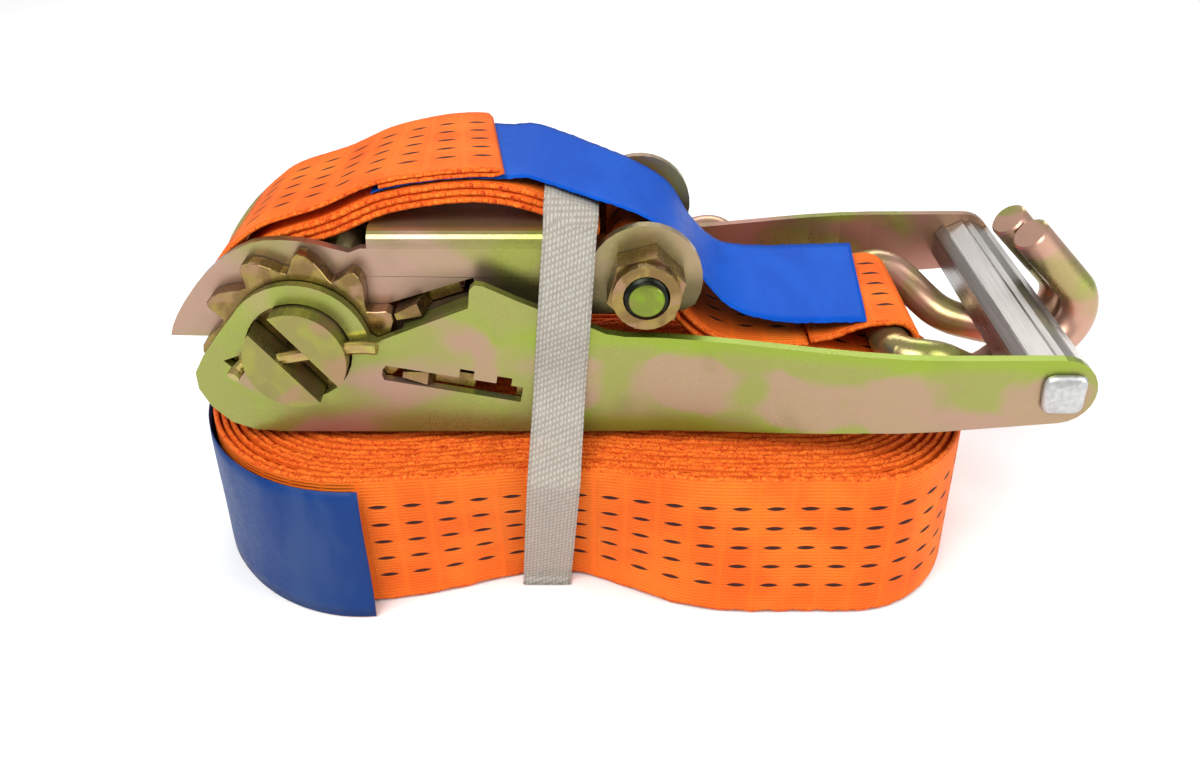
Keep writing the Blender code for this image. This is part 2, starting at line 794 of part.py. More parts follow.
def hank_outline(top, inset=0.0, count=56):
    """The hank's outline in X and Y, clockwise from its left end, moved inwards by inset."""
    side = []
    for i in range(count + 1):
        t = i / count
        reach = HANK_RIGHT - HANK_LEFT - 2 * inset
        x = HANK_LEFT + inset + reach * (0.5 - 0.5 * math.cos(math.pi * t))
        side.append((x, -hank_depth(x, top, inset)))
    return side + [(x, -y) for x, y in side[-2:0:-1]]


def loft_mesh(name, rings):
    """Closed rings of equal length joined by quads, the first and last capped."""
    work = bmesh.new()
    layers = []
    for z, ring in rings:
        layers.append([work.verts.new((x * MM, y * MM, z * MM)) for x, y in ring])
    size = len(layers[0])
    for low, high in zip(layers, layers[1:]):
        for i in range(size):
            j = (i + 1) % size
            work.faces.new((low[i], low[j], high[j], high[i]))
    work.faces.new(layers[0][::-1])
    work.faces.new(layers[-1])
    bmesh.ops.recalc_face_normals(work, faces=work.faces)
    mesh = bpy.data.meshes.new(name)
    work.to_mesh(mesh)
    work.free()
    return mesh


def hank_rings(inset, low, high, steps=3):
    rings = []
    bottom = hank_outline(False, inset)
    top = hank_outline(True, inset)
    for k in range(steps + 1):
        t = k / steps
        z = low + (high - low) * t
        share = smooth((z - FLOOR) / (HANK_TOP - FLOOR))
        ring = [(a + (c - a) * share, b + (d - b) * share) for (a, b), (c, d) in zip(bottom, top)]
        rings.append((z, ring))
    return rings


def make_hank(build, webbing, label):
    outer_rings = hank_rings(0.0, FLOOR, HANK_TOP - 0.4)
    outer = build.add("hank_outer_turns", loft_mesh("outer", outer_rings), webbing)
    void = loft_mesh("void", hank_rings(TURN_DEPTH, FLOOR - 2.0, HANK_TOP + 2.0))
    build.boolean(outer, build.tool("hank_middle", void), "DIFFERENCE")
    across = box_outline(TIE_X - 16.0, TIE_X + 8.0, FLOOR - 2.0, FLOOR + 1.8)
    groove = plate_mesh("groove", [across], -90.0, 90.0)
    build.boolean(outer, build.tool("tie_groove_outer", groove), "DIFFERENCE")
    inner_rings = hank_rings(TURN_DEPTH + 1.2, FLOOR + 2.0, HANK_TOP - 0.6)
    build.add("hank_inner_turns", loft_mesh("inner", inner_rings), webbing)
    make_hank_label(build, label)


def make_hank_label(build, label):
    """A label round the hank's left end, standing a little off the outer turn."""
    outline = hank_outline(True, -1.0)
    low = hank_outline(False, -1.0)
    size = len(outline)
    front = [i for i in range(size) if outline[i][1] <= 0 and outline[i][0] < LABEL_END]
    rear = [i for i in range(size) if outline[i][1] > 0 and outline[i][0] < -8.0]
    order = rear + front
    rings = []
    for z, share in ((FLOOR + 0.8, 0.0), (FLOOR + 17.0, 0.28), (FLOOR + 33.0, 0.74), (HANK_TOP - 1.6, 1.0)):
        run = []
        for i in order:
            (a, b), (c, d) = low[i], outline[i]
            run.append((a + (c - a) * share, b + (d - b) * share))
        rings.append((z, offset_run(run, 0.4) + offset_run(run, -0.4)[::-1]))
    build.add("hank_label", loft_mesh("hank_label", rings), label)


def make_long_end(build, webbing):
    """The long strap's end: it leaves the hank's rear and loops round its hook's standing eye bar."""
    centre = (LONG_EYE_X, LONG_EYE_Y)
    hole = [*arc(centre, WIRE + 1.2, 62, 298, 16)]
    hole += [(134.0, 65.2), (139.0, 67.6), (139.0, 69.0), (134.0, 73.4)]
    skin = [*arc(centre, WIRE + 3.4, 96, 264, 12)]
    skin += [(135.0, 61.9), (150.0, 62.2), (150.0, 67.4), (143.0, 69.4), (135.0, 76.4)]
    middle = FLOOR + EYE_HALF + WIRE + 0.2
    mesh = prism_mesh("long_hook_loop", [skin, hole], middle - EYE_WEB, middle + EYE_WEB, TO_XY)
    build.add("long_hook_loop", mesh, webbing)


def tie_section(outside):
    """The tie's closed loop in Y and Z, on its inner or its outer face."""
    d = TIE_THICK if outside else 0.0
    waist_top, waist_low = 58.6, 40.6
    corner = HANDLE_OUTER + 1.6
    half = [
        (0.0, FLOOR + 1.2 - d),
        (waist_low + d * 0.6, FLOOR + 1.2 - d),
        (waist_low + 0.8 + d, FLOOR + 4.0),
        (51.0 + d, -52.0),
        (waist_top + d, -32.0),
        (waist_top + d * 0.8, HANK_TOP + d * 0.6),
        (corner + d, -12.0),
        (corner + d, 9.0),
        (corner - 5.0 + d, 24.0),
        (27.4 + d, 36.6 + d),
        (24.0, 38.4 + d),
        (0.0, 38.6 + d),
    ]
    return half + [(-y, z) for y, z in half[-2:0:-1]]


def make_tie(build, woven):
    mesh = prism_mesh("tie", [tie_section(True), tie_section(False)], -TIE_HALF, TIE_HALF, TO_YZ)
    for vert in mesh.vertices:
        x, z = vert.co.x / MM, vert.co.z / MM
        if z > TIE_TOP_FROM:
            vert.co.z -= TIE_TOP_SLOPE * x * MM
        vert.co.x += (TIE_X + TIE_LEAN * z) * MM
    build.add("tie_band", mesh, woven)


def main():
    clear_scene()
    steel = make_material("yellow_zinc_steel", (0.46, 0.47, 0.24), 0.32, 0.9)
    bronze = make_material("zinc_steel_dark", (0.42, 0.32, 0.20), 0.35, 0.9)
    aluminium = make_material("aluminium", (0.62, 0.63, 0.62), 0.4, 0.9)
    spring_steel = make_material("spring_steel", (0.30, 0.30, 0.32), 0.3, 1.0)
    webbing = make_material("orange_webbing", (0.95, 0.20, 0.02), 0.75, 0.0)
    label = make_material("blue_label", (0.01, 0.09, 0.55), 0.45, 0.0)
    woven = make_material("woven_tie", (0.55, 0.56, 0.50), 0.7, 0.0)
    build = Builder()
    make_frame(build, steel)
    make_bolt(build, steel)
    make_nut(build, bronze)
    make_sleeve(build, bronze)
    make_lock_pawl(build, bronze, spring_steel)
    for name, side in (("handle_plate_front", -1), ("handle_plate_rear", 1)):
        make_handle_plate(build, steel, name, side)
    make_grip(build, aluminium)
    make_drive_pawl(build, bronze, spring_steel)
    make_drum(build, bronze)
    make_wheels(build, bronze)
    make_cotters(build, bronze)
    make_pile(build, webbing, label)
    make_short_strap(build, webbing)
    make_hooks(build, steel)
    make_hank(build, webbing, label)
    make_long_end(build, webbing)
    make_tie(build, woven)


main()
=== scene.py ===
"""Ratchet strap: the look of the closed ratchet, its webbing, labels and tie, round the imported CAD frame.

Sizes and places on the strap are in millimetres from the middle of the drum's axis, with X towards the
grip bar, Y to the rear and Z up, and world() turns a place into the frame's metres. DRUM is that middle
in the frame. The camera, the lights and the floor are in the frame's metres.
"""

import math

import bmesh
import bpy
import numpy as np
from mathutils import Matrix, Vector

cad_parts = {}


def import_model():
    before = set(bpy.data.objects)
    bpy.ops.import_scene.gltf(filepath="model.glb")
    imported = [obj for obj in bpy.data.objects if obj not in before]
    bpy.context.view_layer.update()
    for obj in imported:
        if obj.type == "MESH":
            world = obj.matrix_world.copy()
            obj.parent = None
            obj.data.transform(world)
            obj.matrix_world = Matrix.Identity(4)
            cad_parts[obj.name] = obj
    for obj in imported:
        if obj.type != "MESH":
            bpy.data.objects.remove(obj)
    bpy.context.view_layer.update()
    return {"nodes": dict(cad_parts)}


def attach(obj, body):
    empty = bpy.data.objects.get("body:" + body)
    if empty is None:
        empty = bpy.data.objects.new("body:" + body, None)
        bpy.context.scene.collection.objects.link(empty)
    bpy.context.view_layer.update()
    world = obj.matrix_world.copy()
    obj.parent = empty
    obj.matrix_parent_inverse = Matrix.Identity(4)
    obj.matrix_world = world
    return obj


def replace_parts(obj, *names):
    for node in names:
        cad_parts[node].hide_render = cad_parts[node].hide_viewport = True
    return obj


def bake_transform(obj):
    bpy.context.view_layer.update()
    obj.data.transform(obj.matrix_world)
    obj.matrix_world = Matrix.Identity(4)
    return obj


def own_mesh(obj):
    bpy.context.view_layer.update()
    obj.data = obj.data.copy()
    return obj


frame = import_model()

MM = 0.001
DRUM = Vector((-98.18, -25.66, 78.0))
FLOOR = -78.0
HANK_TOP = -28.0

WEB_WIDTH = 50.0
WEB_THICK = 1.45
WEB_EDGE = WEB_WIDTH / 2
LOOP_WIDTH = 48.4
LOOP_EDGE = LOOP_WIDTH / 2
SPACING = 1.5
DASH_PITCH = 9.4
DASH_HALF_LENGTH = 2.9
DASH_HALF_WIDTH = 0.74
ROW_PITCH = 7.25
FIRST_ROW = 10.5
ROWS = 5

BOLT = (94.7, 17.6)
GRIP_BAR = (205.2, -4.8)
PLATE_INSIDE = 35.6
PLATE_THICK = 3.0
ARM_FLARE = 13.9
ARM_MIDDLE = -9.5

WIRE_RADIUS = 5.5
SHORT_EYE = (166.0, -6.0)
LONG_EYE = (128.0, 70.0)
EYE_HALF = 24.4
EYE_CORNER = 7.0
SHANK_SPREAD = EYE_HALF + EYE_CORNER
LONG_MIDDLE = FLOOR + SHANK_SPREAD + WIRE_RADIUS + 0.2

CAMERA_PLACE = (-0.0158, -0.3518, 0.2333)
CAMERA_PITCH = 29.8
CAMERA_LENS = 35.85


def world(x, y, z):
    return tuple((Vector((x, y, z)) + DRUM) * MM)


# Shader nodes


class Shade:
    """A material's node tree, with short calls for the nodes used here."""

    def __init__(self, name, roughness, metallic=0.0, sheen=0.0, alpha=1.0, specular=0.5):
        self.material = bpy.data.materials.new(name)
        self.material.use_nodes = True
        self.tree = self.material.node_tree
        self.out = self.tree.nodes["Principled BSDF"]
        self.out.inputs["Roughness"].default_value = roughness
        self.out.inputs["Metallic"].default_value = metallic
        self.out.inputs["Sheen Weight"].default_value = sheen
        self.out.inputs["Sheen Roughness"].default_value = 0.5
        self.out.inputs["Alpha"].default_value = alpha
        self.out.inputs["Specular IOR Level"].default_value = specular

    def node(self, kind, **settings):
        made = self.tree.nodes.new(kind)
        for key, value in settings.items():
            setattr(made, key, value)
        return made

    def put(self, socket, value):
        """A link into the socket, or a plain value; None leaves the socket as it is."""
        if isinstance(value, bpy.types.NodeSocket):
            self.tree.links.new(value, socket)
        elif value is not None:
            socket.default_value = value

    def math(self, operation, *values):
        made = self.node("ShaderNodeMath", operation=operation)
        for socket, value in zip(made.inputs, values):
            self.put(socket, value)
        return made.outputs[0]

    def plus(self, a, b):
        return self.math("ADD", a, b)

    def less(self, a, b):
        return self.math("SUBTRACT", a, b)

    def times(self, a, b):
        return self.math("MULTIPLY", a, b)

    def ripple(self, angle):
        """A sine wave from 0 to 1."""
        return self.times(self.plus(self.math("SINE", angle), 1.0), 0.5)

    def ramp(self, value, low, high, start=0.0, end=1.0):
        """The value from low to high, eased, to a number from start to end."""
        made = self.node("ShaderNodeMapRange", interpolation_type="SMOOTHSTEP")
        for socket, number in zip(made.inputs, (value, low, high, start, end)):
            self.put(socket, number)
        return made.outputs[0]

    def mix(self, share, a, b):
        made = self.node("ShaderNodeMix", data_type="RGBA")
        self.put(made.inputs["Factor"], share)
        self.put(made.inputs["A"], a if isinstance(a, bpy.types.NodeSocket) else (*a, 1))
        self.put(made.inputs["B"], b if isinstance(b, bpy.types.NodeSocket) else (*b, 1))
        return made.outputs["Result"]

    def place(self, scale=(1.0, 1.0, 1.0)):
        """The object's own coordinates in metres, stretched."""
        coordinates = self.node("ShaderNodeTexCoord").outputs["Object"]
        made = self.node("ShaderNodeMapping")
        self.put(made.inputs["Vector"], coordinates)
        self.put(made.inputs["Scale"], scale)
        return made.outputs[0]

    def axes(self, vector):
        parts = self.node("ShaderNodeSeparateXYZ")
        self.put(parts.inputs[0], vector)
        return parts.outputs

    def millimetres(self):
        """The object's own X, Y and Z in millimetres."""
        return self.axes(self.place((1000.0, 1000.0, 1000.0)))

    def strap(self):
        """Millimetres along the strap and across it."""
        u, v, _ = self.axes(self.node("ShaderNodeUVMap", uv_map="strap").outputs[0])
        return self.times(u, 1000.0), self.times(v, 1000.0)

    def on_strap(self, u, v, along, across):
        """A place on the strap, stretched along it and across it."""
        return self.combine(self.times(u, along), self.times(v, across))

    def noise(self, vector, scale, detail=2.0, roughness=0.5, distortion=0.0):
        made = self.node("ShaderNodeTexNoise")
        self.put(made.inputs["Vector"], vector)
        self.put(made.inputs["Scale"], scale)
        self.put(made.inputs["Detail"], detail)
        self.put(made.inputs["Roughness"], roughness)
        self.put(made.inputs["Distortion"], distortion)
        return made.outputs["Fac"]

    def combine(self, x, y):
        made = self.node("ShaderNodeCombineXYZ")
        self.put(made.inputs[0], x)
        self.put(made.inputs[1], y)
        return made.outputs[0]

    def bump(self, height, strength, distance):
        made = self.node("ShaderNodeBump")
        self.put(made.inputs["Height"], height)
        self.put(made.inputs["Strength"], strength)
        self.put(made.inputs["Distance"], distance)
        self.put(self.out.inputs["Normal"], made.outputs[0])

    def finish(self, colour=None, roughness=None):
        self.put(self.out.inputs["Base Color"], colour)
        self.put(self.out.inputs["Roughness"], roughness)
        return self.material


# Main, lime and pink tone of each zinc-plated finish
ZINC = {
    "plate": ((0.28, 0.29, 0.08), (0.25, 0.34, 0.035), (0.39, 0.245, 0.175)),
    # The rear plate: its zinc tones made redder by a painted reflection of the orange webbing
    "rear_plate": ((0.34, 0.24, 0.12), (0.30, 0.33, 0.07), (0.42, 0.22, 0.17)),
    "frame": ((0.30, 0.25, 0.11), (0.27, 0.29, 0.06), (0.40, 0.26, 0.19)),
    "drum": ((0.25, 0.22, 0.07), (0.28, 0.27, 0.06), (0.33, 0.21, 0.11)),
    "bronze": ((0.19, 0.12, 0.045), (0.28, 0.20, 0.06), (0.32, 0.19, 0.11)),
    "gold": ((0.45, 0.33, 0.11), (0.45, 0.39, 0.11), (0.40, 0.24, 0.12)),
    "bolt": ((0.17, 0.21, 0.03), (0.19, 0.30, 0.015), (0.22, 0.19, 0.06)),
    "hook": ((0.36, 0.29, 0.12), (0.32, 0.34, 0.08), (0.50, 0.29, 0.21)),
}


def arm_clouds(s, colour, second):
    """The handle arm: pink along its middle, lime towards its two long edges, away from the drum."""
    _, lime, pink = ZINC["plate"]
    x, _, z = s.millimetres()
    off = s.math("ABSOLUTE", s.less(z, DRUM.z + ARM_MIDDLE))
    belly = s.times(s.ramp(off, 5.0, 12.5, 1.0, -0.6), s.ramp(x, DRUM.x + 45.0, DRUM.x + 75.0))
    blush = s.ramp(s.plus(second, s.times(belly, 0.16)), 0.50, 0.66, 0.0, 0.85)
    rim = s.times(s.ramp(off, 9.5, 13.0), s.ramp(x, DRUM.x + 60.0, DRUM.x + 90.0))
    return s.mix(s.times(rim, 0.8), s.mix(blush, colour, pink), lime)


def base_painted_shade(s, colour, _):
    """The frame's base: painted shade, darker low down between the drum and the bolt."""
    x, _, z = s.millimetres()
    low = s.times(s.ramp(z, DRUM.z + 23.0, DRUM.z + 14.0), s.ramp(x, DRUM.x + 20.0, DRUM.x + 45.0))
    # painted shade: dark brown mixed in low on the base, under the ridge
    return s.mix(s.times(low, 0.85), colour, (0.10, 0.075, 0.035))


def thread_painted_shade(s, colour, _):
    """The bolt's front end: its thread is painted dark as shade outside the bright tip."""
    x, y, z = s.millimetres()
    x = s.less(x, DRUM.x + BOLT[0])
    z = s.less(z, DRUM.z + BOLT[1])
    out = s.math("SQRT", s.plus(s.times(x, x), s.times(z, z)))
    front = s.ramp(y, DRUM.y - 40.0, DRUM.y - 41.0)
    # painted shade: near black over the thread's grooves at the front end
    return s.mix(s.times(s.ramp(out, 4.5, 4.9), front), colour, (0.012, 0.014, 0.008))


def zinc(name, cloud=22.0, metallic=0.8, roughness=0.28, pinkness=0.5, extra=None):
    """Yellow zinc plate: soft green, lime and pink clouds over steel, with fine rolling lines and stains."""
    main, lime, pink = ZINC[name]
    s = Shade(f"zinc_{name}", roughness, metallic=metallic)
    clouds = s.noise(s.place((1.0, 1.0, 1.6)), cloud, 2.5, 0.5, 0.6)
    second = s.noise(s.place((1.3, 1.0, 1.0)), cloud * 1.9, 2.0, 0.45, 0.3)
    fine = s.noise(s.place(), 900.0, 3.0, 0.6)
    lines = s.noise(s.place((0.08, 1.0, 1.0)), 1500.0)
    colour = s.mix(s.ramp(second, 0.42, 0.66), main, lime)
    colour = s.mix(s.ramp(clouds, pinkness, pinkness + 0.16), colour, pink)
    if extra:
        colour = extra(s, colour, second)
    stain = s.ramp(s.noise(s.place(), 60.0), 0.58, 0.80, 0.0, 0.25)
    colour = s.mix(stain, colour, tuple(0.55 * c for c in main))
    grain = s.ramp(fine, 0.3, 0.7, roughness - 0.02, roughness + 0.04)
    s.bump(s.plus(s.times(fine, 0.4), lines), 0.05, 0.0002)
    return s.finish(colour, s.plus(grain, s.ramp(clouds, 0.4, 0.7, 0.0, 0.08)))


def brushed(name, tone, roughness, stretch):
    """Drawn or brushed metal with lines along one axis."""
    s = Shade(name, roughness, metallic=0.9)
    lines = s.noise(s.place(stretch), 1400.0, 3.0, 0.6)
    wide = s.noise(s.place(tuple(0.2 * c for c in stretch)), 600.0)
    colour = s.mix(s.ramp(lines, 0.3, 0.7), tuple(0.75 * c for c in tone), tone)
    colour = s.mix(s.ramp(wide, 0.45, 0.7, 0.0, 0.4), colour, tuple(1.25 * c for c in tone))
    s.bump(lines, 0.25, 0.0003)
    return s.finish(colour, s.ramp(wide, 0.35, 0.65, roughness - 0.06, roughness + 0.1))


def tracer_dashes(s, along, v):
    """Short dark lens shapes in five rows along the strap: 1 in a dash, 0 outside."""
    row = s.math("DIVIDE", s.less(v, FIRST_ROW), ROW_PITCH)
    nearest = s.math("MINIMUM", s.math("MAXIMUM", s.math("ROUND", row), 0.0), ROWS - 1.0)
    across = s.math("ABSOLUTE", s.times(s.less(row, nearest), ROW_PITCH))
    reach = s.math("DIVIDE", along, DASH_HALF_LENGTH)
    half = s.times(s.less(1.0, s.times(reach, reach)), DASH_HALF_WIDTH)
    return s.ramp(s.less(half, across), -0.06, 0.14)


def webbing(name):
    """Orange polyester webbing: warp ribs in cells, smooth weft bands, rows of black dashes, rough edges
    with a painted highlight on their frayed tufts and painted shade in their grooves.
    """
    s = Shade(name, 0.65, specular=0.12)
    u, v = s.strap()
    cell = s.less(s.math("FRACT", s.math("DIVIDE", u, DASH_PITCH)), 0.5)
    along = s.times(cell, DASH_PITCH)
    dash = tracer_dashes(s, along, v)
    band = s.ramp(s.math("ABSOLUTE", along), 3.7, 4.25)
    wobble = s.noise(s.combine(u, v), 0.5)
    ribs = s.ripple(s.plus(s.times(v, 2 * math.pi / 1.18), s.times(wobble, 2.2)))
    weft = s.ripple(s.times(u, 2 * math.pi / 0.78))
    yarn = s.plus(s.times(ribs, s.less(1.0, s.times(band, 0.75))), s.times(weft, 0.22))
    rim = s.math("MINIMUM", v, s.less(WEB_WIDTH, v))
    edge = s.ramp(rim, 0.5, 1.7, 1.0, 0.0)
    zigzag = s.noise(s.on_strap(u, v, 0.9, 1.3), 1.1, 3.0, 0.65, 1.2)
    cloud = s.noise(s.combine(u, v), 0.045)
    colour = s.mix(s.ramp(cloud, 0.3, 0.7), (0.75, 0.125, 0.010), (0.84, 0.20, 0.018))
    colour = s.mix(s.times(s.less(1.0, ribs), 0.42), colour, (0.70, 0.065, 0.006))
    colour = s.mix(s.times(band, 0.30), colour, (1.0, 0.155, 0.012))
    # frayed tufts on the edges: pale fibres plus a painted highlight
    fray_and_highlight = s.times(edge, s.ramp(zigzag, 0.46, 0.64))
    colour = s.mix(s.times(edge, 0.45), colour, (0.62, 0.06, 0.008))
    colour = s.mix(s.times(fray_and_highlight, 0.5), colour, (1.0, 0.27, 0.03))
    # painted shade in the grooves between the edge's tufts
    groove_shade = s.times(edge, s.ramp(zigzag, 0.46, 0.34))
    colour = s.mix(s.times(groove_shade, 0.9), colour, (0.42, 0.022, 0.003))
    colour = s.mix(s.times(dash, 0.96), colour, (0.012, 0.006, 0.008))
    s.bump(s.plus(s.times(yarn, s.less(1.0, edge)), s.times(s.times(edge, zigzag), 3.0)), 0.55, 0.00035)
    return s.finish(colour)


def label_cloth(name, main, light, specular):
    """A coated blue label: very fine weave, soft creases and faint handling marks."""
    s = Shade(name, 0.42, specular=specular)
    u, v = s.strap()
    grain = s.noise(s.on_strap(u, v, 4.0, 4.0), 1.0)
    crease = s.noise(s.on_strap(u, v, 0.05, 0.02), 1.0, 3.0, 0.55, 0.8)
    marks = s.noise(s.on_strap(u, v, 0.3, 0.9), 1.0, 4.0, 0.7)
    colour = s.mix(s.ramp(crease, 0.42, 0.68), main, light)
    rubbed = tuple(1.7 * c + 0.02 for c in light)
    colour = s.mix(s.ramp(marks, 0.66, 0.8, 0.0, 0.35), colour, rubbed)
    s.bump(s.plus(s.times(grain, 0.25), s.times(crease, 3.0)), 0.25, 0.0006)
    return s.finish(colour, s.ramp(marks, 0.3, 0.7, 0.36, 0.5))


def tie_cloth(name):
    """A thin milky woven band: narrow ribs across a fine weave, a little see-through."""
    s = Shade(name, 0.5, sheen=0.1, alpha=0.72, specular=0.2)
    u, v = s.strap()
    ribs = s.ripple(s.times(v, 2 * math.pi))
    picks = s.ripple(s.plus(s.times(u, 2 * math.pi / 1.7), s.times(v, 1.6)))
    thread = s.times(ribs, picks)
    fibre = s.noise(s.on_strap(u, v, 0.35, 4.0), 1.0, 3.0, 0.6)
    colour = s.mix(s.ramp(thread, 0.05, 0.7), (0.34, 0.31, 0.26), (0.52, 0.50, 0.44))
    colour = s.mix(s.ramp(fibre, 0.5, 0.75, 0.0, 0.6), colour, (0.78, 0.76, 0.70))
    s.bump(s.plus(thread, s.times(fibre, 0.6)), 0.5, 0.0004)
    return s.finish(colour)


# Runs and sheets of cloth


def arc(centre, radius, start, end, steps):
    """Points from one angle in degrees to another round a centre."""
    found = []
    for i in range(steps + 1):
        angle = math.radians(start + (end - start) * i / steps)
        found.append((centre[0] + radius * math.cos(angle), centre[1] + radius * math.sin(angle)))
    return found


def smooth(t):
    """An eased step from 0 to 1."""
    t = np.clip(t, 0.0, 1.0)
    return t * t * (3 - 2 * t)


def spline(points, spacing):
    """A Catmull-Rom run through the points, sampled evenly."""
    first, last = 2 * np.array(points[0]) - points[1], 2 * np.array(points[-1]) - points[-2]
    p = np.array([first, *points, last], float)
    fine = []
    t = np.linspace(0, 1, 25)[:-1, None]
    for i in range(1, len(p) - 2):
        a, b, c, d = p[i - 1 : i + 3]
        curve = 2 * b + (c - a) * t + (2 * a - 5 * b + 4 * c - d) * t**2 + (3 * b - a - 3 * c + d) * t**3
        fine.append(0.5 * curve)
    return even(np.vstack([*fine, p[-2:-1]]), spacing)


def lengths(points):
    """How far along the run each of its points lies."""
    return np.concatenate([[0], np.cumsum(np.linalg.norm(np.diff(points, axis=0), axis=1))])


def even(run, spacing):
    """The same run with evenly spaced points."""
    run = np.array(run, float)
    length = lengths(run)
    at = np.linspace(0, length[-1], max(2, int(length[-1] / spacing) + 1))
    return np.column_stack([np.interp(at, length, run[:, k]) for k in range(run.shape[1])])


def left_of(run):
    """Unit vectors to the left of a run in its plane."""
    way = np.gradient(run, axis=0)
    way /= np.linalg.norm(way, axis=1)[:, None]
    return np.column_stack([-way[:, 1], way[:, 0]])


def shifted(run, distance):
    """The run moved to its left."""
    return run + left_of(run) * distance


def sheet_faces(rows, size):
    """Faces of a closed sheet: rows of points round its section, top then underside, and both end caps."""
    index = np.arange(rows * size).reshape(rows, size)
    a, b = index[:-1], index[1:]
    quads = np.stack([a, np.roll(a, -1, 1), np.roll(b, -1, 1), b], axis=-1).reshape(-1, 4)
    caps = []
    for row, flip in ((index[0], False), (index[-1], True)):
        for k in range(size // 2 - 1):
            face = [row[k], row[size - 1 - k], row[size - 2 - k], row[k + 1]]
            caps.append(face[::-1] if flip else face)
    return np.vstack([quads, caps])


def cloth(name, middle, normal, across, thick, material, body, edge=0.35):
    """A closed thin sheet and its length.

    middle and normal are arrays of (along, across, xyz), and across is each column's place over the width.
    The two side edges have the share edge of the thickness. Its UV map holds metres along and across.
    """
    half = np.full(middle.shape[1], thick / 2)
    half[0] = half[-1] = thick / 2 * edge
    top = middle + normal * half[None, :, None]
    low = middle - normal * half[None, :, None]
    ring = np.concatenate([top, low[:, ::-1]], axis=1)
    place = (ring.reshape(-1, 3) + np.array(DRUM)) * MM
    mesh = bpy.data.meshes.new(name)
    mesh.from_pydata(place.tolist(), [], sheet_faces(*ring.shape[:2]).tolist())
    u = lengths(middle[:, middle.shape[1] // 2])
    v = np.concatenate([across, across[::-1]])
    uv = np.stack(np.broadcast_arrays(u[:, None], v[None, :]), axis=-1).reshape(-1, 2) * MM
    layer = mesh.uv_layers.new(name="strap")
    corner = np.zeros(len(mesh.loops), np.int32)
    mesh.loops.foreach_get("vertex_index", corner)
    layer.data.foreach_set("uv", uv[corner].astype(np.float32).ravel())
    mesh.materials.append(material)
    mesh.shade_smooth()
    obj = bpy.data.objects.new(name, mesh)
    bpy.context.scene.collection.objects.link(obj)
    if body:
        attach(obj, body)
    return obj, float(u[-1])


# Places over the strap's width, closer together at its edges
EDGE_STEPS = (0.0, 0.7, 2.0, 5.0, 12.0, 20.0, 25.0, 30.0, 38.0, 45.0, 48.0, 49.3, 50.0)


def selvedge(u, across, seed, size=0.28):
    """A small zigzag of the two edges: millimetres to move each point across the strap."""
    wave = np.sin(u * 2 * math.pi / 3.4 + seed) + 0.6 * np.sin(u * 2 * math.pi / 7.9 + 2.1 * seed)
    outward = np.where(across < across[-1] / 2, -1, 1)
    rim = np.clip(1 - np.minimum(across, across[-1] - across), 0, 1) * outward
    return size * wave[:, None] * rim[None, :]


def flat_run(name, run, low, high, thick, material, body, seed, plane="XZ", steps=EDGE_STEPS,
             slide=None, wave=None):
    """A strap along a run in one plane, from low to high across; slide and wave move it off that run."""
    share = np.array(steps) / steps[-1]
    across = share * (high - low)
    side = left_of(run)
    first, second, wide = (0, 2, 1) if plane == "XZ" else (0, 1, 2)
    middle = np.zeros((len(run), len(across), 3))
    middle[:, :, first] = run[:, 0, None]
    middle[:, :, second] = run[:, 1, None]
    middle[:, :, wide] = low + across[None, :] + selvedge(lengths(run), across, seed)
    normal = np.zeros(middle.shape)
    normal[:, :, first] = side[:, 0, None]
    normal[:, :, second] = side[:, 1, None]
    if slide:
        middle[:, :, first] += slide(run[:, 0, None], share[None, :])
    if wave:
        middle[:, :, second] += wave(run[:, 0, None], share[None, :])
    return cloth(name, middle, normal, across, thick, material, body)


def joined(name, parts, replaced):
    """Several sheets as one object that stands for the CAD node named."""
    first = parts[0]
    chosen = {"active_object": first, "selected_objects": parts, "selected_editable_objects": parts}
    with bpy.context.temp_override(**chosen):
        bpy.ops.object.join()
    first.name = name
    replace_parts(first, replaced)
    return first


# The hank


HANK_TURNS = 24
HANK_LEFT = -37.0
HANK_RIGHT = 195.0
HANK_WAIST = 68.0
SKIN = 0.8  # from the hank's outline to the middle of its outer turn
STEP_IN = 2.0
STEP_DEEP = 2.25
WAIST_REACH = 30.0
WAIST_INSIDE = 2.4
ROUND_LEFT = 52.0
ROUND_RIGHT = 42.0

# Half depths of the left lobe, the right lobe and the waist
HANK_AT_FLOOR = (53.0, 58.0, 38.0)
HANK_AT_TOP = (60.0, 60.0, 54.0)


def hank_place(s, turn, z):
    """X and Y of the strap at a share s of a turn, after a number of turns, at height z."""
    left, right = HANK_LEFT + SKIN + turn * STEP_IN, HANK_RIGHT - SKIN - turn * STEP_IN
    x = left + (right - left) * (0.5 - 0.5 * np.cos(2 * math.pi * s))
    depths = []
    for lobe_left, lobe_right, waist in (HANK_AT_FLOOR, HANK_AT_TOP):
        lobe = lobe_left + (lobe_right - lobe_left) * smooth((x - HANK_WAIST + 6.0) / 12.0)
        lobe = lobe - SKIN - turn * STEP_DEEP
        tight = waist - SKIN - turn * (waist - WAIST_INSIDE) / HANK_TURNS
        depths.append(lobe - (lobe - tight) * np.exp(-(((x - HANK_WAIST) / WAIST_REACH) ** 2)))
    rise = smooth((z - FLOOR) / (HANK_TOP - FLOOR))
    depth = depths[0] + (depths[1] - depths[0]) * rise
    tighter = 1 - turn * 0.025
    from_left, from_right = (x - left) / (ROUND_LEFT * tighter), (right - x) / (ROUND_RIGHT * tighter)
    reach = np.clip(np.minimum(from_left, from_right), 0, 1)
    depth = depth * np.sqrt(np.clip(1 - (1 - reach) ** 2.3, 0, 1))
    depth = depth + 0.35 * np.sin(x * 0.11 + turn * 1.9)
    return x, -np.sign(np.sin(2 * math.pi * s)) * depth


